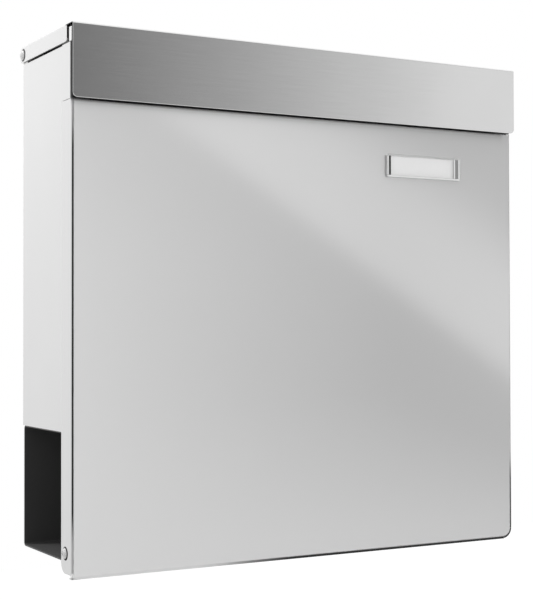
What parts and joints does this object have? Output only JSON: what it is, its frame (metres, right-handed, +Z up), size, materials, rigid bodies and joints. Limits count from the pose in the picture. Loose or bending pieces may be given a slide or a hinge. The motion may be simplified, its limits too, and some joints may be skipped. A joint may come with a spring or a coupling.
{
  "type": "wall mounted mailbox",
  "caption": "Flat wall mounted letter box with a lift-up lid and stainless apron, a tip-out front door with a cam lock, and an open newspaper channel underneath.",
  "frame": {"origin": "centre of the four wall-screw holes, on the wall plane", "axes": "+Z up, +Y into the wall, so the front faces -Y and +X is to the viewer's right"},
  "size_m": [0.3754, 0.1083, 0.3726],
  "materials": {
    "case_paint": "smooth semi-gloss white powder coat",
    "door_paint": "high-gloss white coat that mirrors its surroundings softly",
    "apron_steel": "fine brushed, nearly polished stainless",
    "channel_black": "matte black powder coat",
    "screw_steel": "bright stainless heads",
    "rivet_steel": "zinc-plated steel",
    "lock_chrome": "satin nickel plate",
    "cover_clear": "clear acrylic",
    "label_paper": "blank matte paper",
    "pad_rubber": "soft matte rubber"
  },
  "bodies": {
    "case": {"body_shell": "case_paint", "compartment_floor": "case_paint", "newspaper_channel": "channel_black", "channel_rivets": "rivet_steel", "front_header": "case_paint", "lock_housing": "lock_chrome", "lock_washer": "rivet_steel", "lock_nut": "rivet_steel", "door_pivot_screws": "screw_steel", "door_pivot_sleeves": "rivet_steel", "door_pivot_nuts": "rivet_steel", "lid_pivot_rivets": "screw_steel", "lid_pivot_washers": "rivet_steel", "lid_stops": "pad_rubber"},
    "lid": {"lid_cover": "case_paint", "lid_apron": "apron_steel", "apron_rivets": "screw_steel"},
    "door": {"door_panel": "door_paint", "door_pads": "pad_rubber", "name_cover": "cover_clear", "name_label": "label_paper", "name_clips": "rivet_steel"},
    "lock": {"lock_plug": "lock_chrome", "lock_cam": "rivet_steel", "cam_washer": "rivet_steel", "cam_screw": "rivet_steel"}
  },
  "joints": [
    {"name": "lid_hinge", "type": "hinge", "parent": "case", "child": "lid", "pos_m": [0, -0.007, 0.1393], "axis": [-1, 0, 0], "range_deg": [0, 85]},
    {"name": "door_hinge", "type": "hinge", "parent": "case", "child": "door", "pos_m": [0, -0.092, -0.21], "axis": [1, 0, 0], "range_deg": [0, 90]},
    {"name": "lock_turn", "type": "hinge", "parent": "case", "child": "lock", "pos_m": [0, -0.104, 0.112], "axis": [0, 1, 0], "range_deg": [0, 90]}
  ]
}
